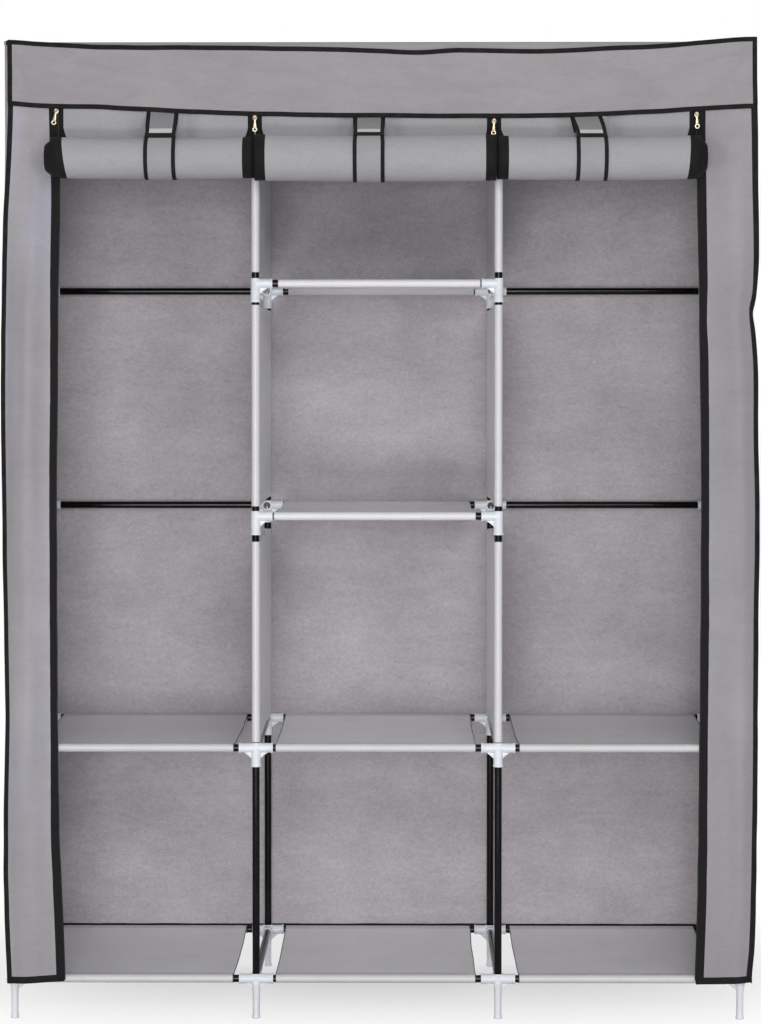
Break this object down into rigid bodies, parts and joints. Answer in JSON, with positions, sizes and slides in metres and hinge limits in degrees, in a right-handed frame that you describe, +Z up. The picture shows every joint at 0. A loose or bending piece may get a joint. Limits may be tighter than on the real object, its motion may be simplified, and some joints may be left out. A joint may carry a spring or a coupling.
{
  "type": "portable fabric wardrobe",
  "caption": "Free-standing cloth wardrobe: steel tubes in moulded connectors, cloth shelves and dividers, and a zipped cover with its doors rolled up.",
  "frame": {"origin": "on the floor, under the middle of the whole wardrobe with its door rolls", "axes": "+Z up, -Y towards the person in front of it, +X to that person's right"},
  "size_m": [1.3125, 0.551, 1.7228],
  "materials": {
    "steel_tube": "satin",
    "connector_plastic": "satin",
    "cover_cloth": "matte",
    "panel_cloth": "satin",
    "binding_tape": "matte",
    "strap_cloth": "matte",
    "zip_metal": "polished"
  },
  "bodies": {
    "frame": {"base_frame": "steel_tube", "top_frame": "steel_tube", "ladder_outer_left": "steel_tube", "ladder_inner_left": "steel_tube", "ladder_inner_right": "steel_tube", "ladder_outer_right": "steel_tube", "front_bar_left_level_2": "steel_tube", "rear_bar_left_level_2": "steel_tube", "front_bar_centre_level_2": "steel_tube", "rear_bar_centre_level_2": "steel_tube", "front_bar_right_level_2": "steel_tube", "rear_bar_right_level_2": "steel_tube", "rear_bar_left_level_3": "steel_tube", "front_bar_centre_level_3": "steel_tube", "rear_bar_centre_level_3": "steel_tube", "rear_bar_right_level_3": "steel_tube", "rear_bar_left_level_4": "steel_tube", "front_bar_centre_level_4": "steel_tube", "rear_bar_centre_level_4": "steel_tube", "rear_bar_right_level_4": "steel_tube", "hanging_rail_left": "steel_tube", "hanging_rail_right": "steel_tube", "shelf_left_level_1": "panel_cloth", "shelf_centre_level_1": "panel_cloth", "shelf_right_level_1": "panel_cloth", "shelf_left_level_2": "panel_cloth", "shelf_centre_level_2": "panel_cloth", "shelf_right_level_2": "panel_cloth", "shelf_centre_level_3": "panel_cloth", "shelf_centre_level_4": "panel_cloth", "divider_left_level_2": "panel_cloth", "divider_right_level_2": "panel_cloth", "divider_left_level_3": "panel_cloth", "divider_right_level_3": "panel_cloth", "divider_left_level_4": "panel_cloth", "divider_right_level_4": "panel_cloth", "cover_top": "cover_cloth", "cover_back": "cover_cloth", "cover_side_left": "cover_cloth", "cover_side_right": "cover_cloth", "cover_flap_left": "cover_cloth", "cover_flap_right": "cover_cloth", "cover_pelmet": "cover_cloth", "door_sheet_left": "cover_cloth", "door_sheet_centre": "cover_cloth", "door_sheet_right": "cover_cloth", "door_strap_left": "strap_cloth", "door_strap_centre": "strap_cloth", "door_strap_right": "strap_cloth"},
    "door_left": {"door_roll_left": "cover_cloth"},
    "door_centre": {"door_roll_centre": "cover_cloth"},
    "door_right": {"door_roll_right": "cover_cloth"},
    "zip_slider_1": {"zip_slider_1": "zip_metal"},
    "zip_slider_2": {"zip_slider_2": "zip_metal"},
    "zip_slider_3": {"zip_slider_3": "zip_metal"},
    "zip_slider_4": {"zip_slider_4": "zip_metal"},
    "zip_pull_1": {"zip_pull_1": "zip_metal"},
    "zip_pull_2": {"zip_pull_2": "zip_metal"},
    "zip_pull_3": {"zip_pull_3": "zip_metal"},
    "zip_pull_4": {"zip_pull_4": "zip_metal"}
  },
  "joints": [
    {"name": "door_left_unroll", "type": "slide", "parent": "frame", "child": "door_left", "axis": [0, 0, -1], "range_m": [0, 1.4], "deforming": ["door_sheet_left", "door_strap_left"]},
    {"name": "door_centre_unroll", "type": "slide", "parent": "frame", "child": "door_centre", "axis": [0, 0, -1], "range_m": [0, 1.4], "deforming": ["door_sheet_centre", "door_strap_centre"]},
    {"name": "door_right_unroll", "type": "slide", "parent": "frame", "child": "door_right", "axis": [0, 0, -1], "range_m": [0, 1.4], "deforming": ["door_sheet_right", "door_strap_right"]},
    {"name": "zip_slider_1_slide", "type": "slide", "parent": "frame", "child": "zip_slider_1", "axis": [0, 0, -1], "range_m": [0, 1.4]},
    {"name": "zip_slider_2_slide", "type": "slide", "parent": "frame", "child": "zip_slider_2", "axis": [0, 0, -1], "range_m": [0, 1.4]},
    {"name": "zip_slider_3_slide", "type": "slide", "parent": "frame", "child": "zip_slider_3", "axis": [0, 0, -1], "range_m": [0, 1.4]},
    {"name": "zip_slider_4_slide", "type": "slide", "parent": "frame", "child": "zip_slider_4", "axis": [0, 0, -1], "range_m": [0, 1.4]},
    {"name": "zip_pull_1_swing", "type": "hinge", "parent": "zip_slider_1", "child": "zip_pull_1", "pos_m": [-0.558, -0.1875, 1.5913], "axis": [-1, 0, 0], "range_deg": [0, 140]},
    {"name": "zip_pull_2_swing", "type": "hinge", "parent": "zip_slider_2", "child": "zip_pull_2", "pos_m": [-0.2124, -0.1875, 1.5793], "axis": [-1, 0, 0], "range_deg": [0, 140]},
    {"name": "zip_pull_3_swing", "type": "hinge", "parent": "zip_slider_3", "child": "zip_pull_3", "pos_m": [0.2036, -0.1875, 1.5733], "axis": [-1, 0, 0], "range_deg": [0, 140]},
    {"name": "zip_pull_4_swing", "type": "hinge", "parent": "zip_slider_4", "child": "zip_pull_4", "pos_m": [0.5556, -0.1875, 1.5843], "axis": [-1, 0, 0], "range_deg": [0, 140]}
  ],
  "couplings": [
    {"joint": "zip_slider_1_slide", "follows": "door_left_unroll", "ratio": 1},
    {"joint": "zip_slider_2_slide", "follows": "door_centre_unroll", "ratio": 1},
    {"joint": "zip_slider_3_slide", "follows": "door_centre_unroll", "ratio": 1},
    {"joint": "zip_slider_4_slide", "follows": "door_right_unroll", "ratio": 1}
  ]
}
